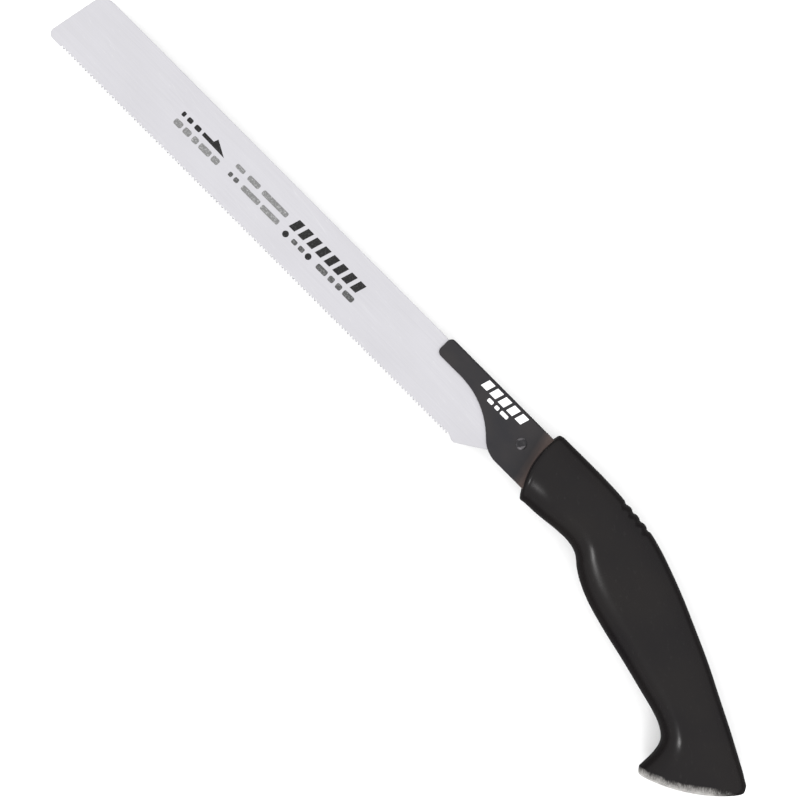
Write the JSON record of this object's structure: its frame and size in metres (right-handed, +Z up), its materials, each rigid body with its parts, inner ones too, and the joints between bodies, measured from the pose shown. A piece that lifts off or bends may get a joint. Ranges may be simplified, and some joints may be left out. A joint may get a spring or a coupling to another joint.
{
  "type": "drywall saw",
  "caption": "Pistol-grip pull saw for drywall: a thin straight replaceable blade in a folded steel holder, hooked on a pin that it swings out on.",
  "frame": {"origin": "under the middle of the saw's bounding box, on the surface that the saw lies on", "axes": "+X along the blade from its tip to the grip, +Y from the teeth to the blade's spine, +Z up out of the side of the saw, at right angles to the blade"},
  "size_m": [0.4498, 0.0808, 0.027],
  "materials": {
    "plated_blade": "thin pale grey plating over ground steel, fine lengthwise brushing",
    "black_paint": "satin black baked paint on folded sheet steel",
    "pin_steel": "steel pin painted over with the holder, worn bright at its rim",
    "bare_steel": "bare steel, hidden in the grip",
    "hard_plastic": "hard moulded plastic, hidden in the grip",
    "black_elastomer": "moulded black elastomer, satin with a fine grain"
  },
  "bodies": {
    "handle": {"blade_holder": "black_paint", "hook_pin": "pin_steel", "tang_spacer": "bare_steel", "tang_pin_front": "bare_steel", "tang_pin_rear": "bare_steel", "grip_core": "hard_plastic", "grip_skin": "black_elastomer"},
    "blade": {"blade": "plated_blade"}
  },
  "joints": [
    {"name": "blade_swing", "type": "hinge", "parent": "handle", "child": "blade", "pos_m": [0.04829, 0.02509, 0.0135], "axis": [0, 0, 1], "range_deg": [0, 30]}
  ]
}
